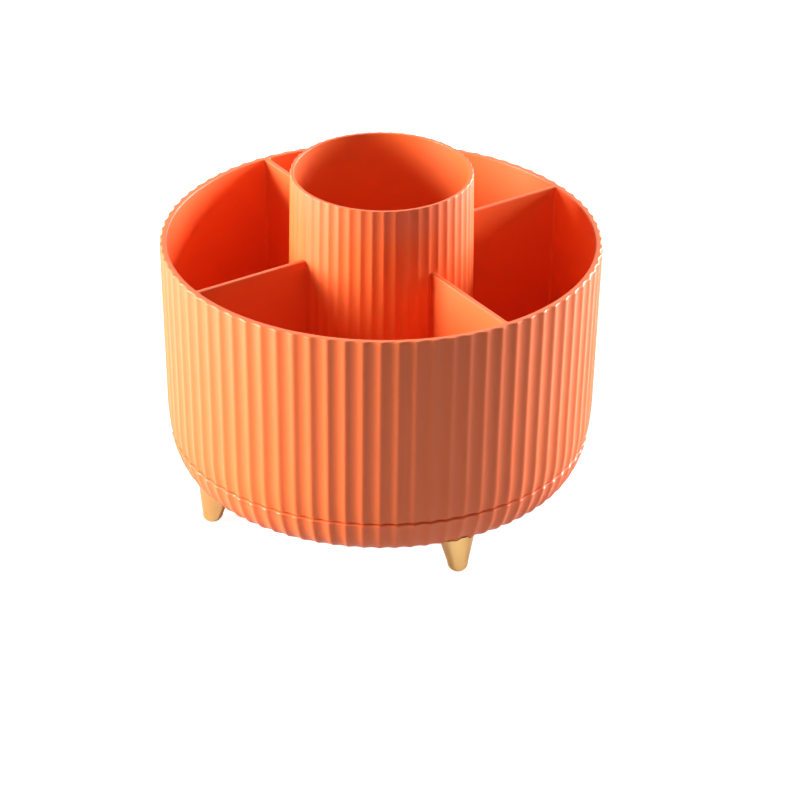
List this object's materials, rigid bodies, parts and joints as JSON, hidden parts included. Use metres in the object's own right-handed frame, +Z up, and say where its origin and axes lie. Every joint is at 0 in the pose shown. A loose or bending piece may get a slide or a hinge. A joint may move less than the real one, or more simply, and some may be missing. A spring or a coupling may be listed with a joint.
{
  "type": "rotating makeup organizer",
  "caption": "Round fluted desktop organizer: a container with radial compartments and a taller centre cup turns on a ball race in a shallow fluted base on splayed gold feet.",
  "frame": {"origin": "on the table, under the middle of the organizer, on its turning axis", "axes": "+Z up along the turning axis; the container's dividers lie along X and Y at rest, and the feet are turned 9 degrees clockwise from them"},
  "size_m": [0.1604, 0.1604, 0.129],
  "materials": {
    "peach_plastic": "satin moulded plastic, peach orange",
    "gold_plating": "bright gold electroplating on moulded plastic",
    "white_plastic": "natural white moulded plastic",
    "zinc_steel": "bright zinc-plated steel"
  },
  "bodies": {
    "base": {"base_shell": "peach_plastic", "foot_1": "gold_plating", "foot_2": "gold_plating", "foot_3": "gold_plating", "foot_4": "gold_plating", "foot_screw_1": "zinc_steel", "foot_screw_2": "zinc_steel", "foot_screw_3": "zinc_steel", "foot_screw_4": "zinc_steel"},
    "turning_container": {"container": "peach_plastic", "pivot_washer": "zinc_steel", "pivot_screw": "zinc_steel"},
    "cage": {"ball_cage": "white_plastic"},
    "rolling_ball_1": {"ball_1": "zinc_steel"},
    "rolling_ball_2": {"ball_2": "zinc_steel"},
    "rolling_ball_3": {"ball_3": "zinc_steel"},
    "rolling_ball_4": {"ball_4": "zinc_steel"},
    "rolling_ball_5": {"ball_5": "zinc_steel"},
    "rolling_ball_6": {"ball_6": "zinc_steel"},
    "rolling_ball_7": {"ball_7": "zinc_steel"},
    "rolling_ball_8": {"ball_8": "zinc_steel"},
    "rolling_ball_9": {"ball_9": "zinc_steel"},
    "rolling_ball_10": {"ball_10": "zinc_steel"},
    "rolling_ball_11": {"ball_11": "zinc_steel"},
    "rolling_ball_12": {"ball_12": "zinc_steel"}
  },
  "joints": [
    {"name": "container_spin", "type": "hinge", "parent": "base", "child": "turning_container", "pos_m": [0, 0, 0.0223], "axis": [0, 0, 1], "continuous": true},
    {"name": "cage_spin", "type": "hinge", "parent": "base", "child": "cage", "pos_m": [0, 0, 0.0223], "axis": [0, 0, 1], "continuous": true},
    {"name": "ball_1_roll", "type": "hinge", "parent": "cage", "child": "rolling_ball_1", "pos_m": [0.04, 0, 0.0223], "axis": [1, 0, 0], "continuous": true},
    {"name": "ball_2_roll", "type": "hinge", "parent": "cage", "child": "rolling_ball_2", "pos_m": [0.03464, 0.02, 0.0223], "axis": [0.866, 0.5, 0], "continuous": true},
    {"name": "ball_3_roll", "type": "hinge", "parent": "cage", "child": "rolling_ball_3", "pos_m": [0.02, 0.03464, 0.0223], "axis": [0.5, 0.866, 0], "continuous": true},
    {"name": "ball_4_roll", "type": "hinge", "parent": "cage", "child": "rolling_ball_4", "pos_m": [0, 0.04, 0.0223], "axis": [0, 1, 0], "continuous": true},
    {"name": "ball_5_roll", "type": "hinge", "parent": "cage", "child": "rolling_ball_5", "pos_m": [-0.02, 0.03464, 0.0223], "axis": [-0.5, 0.866, 0], "continuous": true},
    {"name": "ball_6_roll", "type": "hinge", "parent": "cage", "child": "rolling_ball_6", "pos_m": [-0.03464, 0.02, 0.0223], "axis": [-0.866, 0.5, 0], "continuous": true},
    {"name": "ball_7_roll", "type": "hinge", "parent": "cage", "child": "rolling_ball_7", "pos_m": [-0.04, 0, 0.0223], "axis": [-1, 0, 0], "continuous": true},
    {"name": "ball_8_roll", "type": "hinge", "parent": "cage", "child": "rolling_ball_8", "pos_m": [-0.03464, -0.02, 0.0223], "axis": [-0.866, -0.5, 0], "continuous": true},
    {"name": "ball_9_roll", "type": "hinge", "parent": "cage", "child": "rolling_ball_9", "pos_m": [-0.02, -0.03464, 0.0223], "axis": [-0.5, -0.866, 0], "continuous": true},
    {"name": "ball_10_roll", "type": "hinge", "parent": "cage", "child": "rolling_ball_10", "pos_m": [0, -0.04, 0.0223], "axis": [0, -1, 0], "continuous": true},
    {"name": "ball_11_roll", "type": "hinge", "parent": "cage", "child": "rolling_ball_11", "pos_m": [0.02, -0.03464, 0.0223], "axis": [0.5, -0.866, 0], "continuous": true},
    {"name": "ball_12_roll", "type": "hinge", "parent": "cage", "child": "rolling_ball_12", "pos_m": [0.03464, -0.02, 0.0223], "axis": [0.866, -0.5, 0], "continuous": true}
  ],
  "couplings": [
    {"joint": "cage_spin", "follows": "container_spin", "ratio": 0.5},
    {"joint": "ball_1_roll", "follows": "container_spin", "ratio": -8},
    {"joint": "ball_2_roll", "follows": "container_spin", "ratio": -8},
    {"joint": "ball_3_roll", "follows": "container_spin", "ratio": -8},
    {"joint": "ball_4_roll", "follows": "container_spin", "ratio": -8},
    {"joint": "ball_5_roll", "follows": "container_spin", "ratio": -8},
    {"joint": "ball_6_roll", "follows": "container_spin", "ratio": -8},
    {"joint": "ball_7_roll", "follows": "container_spin", "ratio": -8},
    {"joint": "ball_8_roll", "follows": "container_spin", "ratio": -8},
    {"joint": "ball_9_roll", "follows": "container_spin", "ratio": -8},
    {"joint": "ball_10_roll", "follows": "container_spin", "ratio": -8},
    {"joint": "ball_11_roll", "follows": "container_spin", "ratio": -8},
    {"joint": "ball_12_roll", "follows": "container_spin", "ratio": -8}
  ]
}
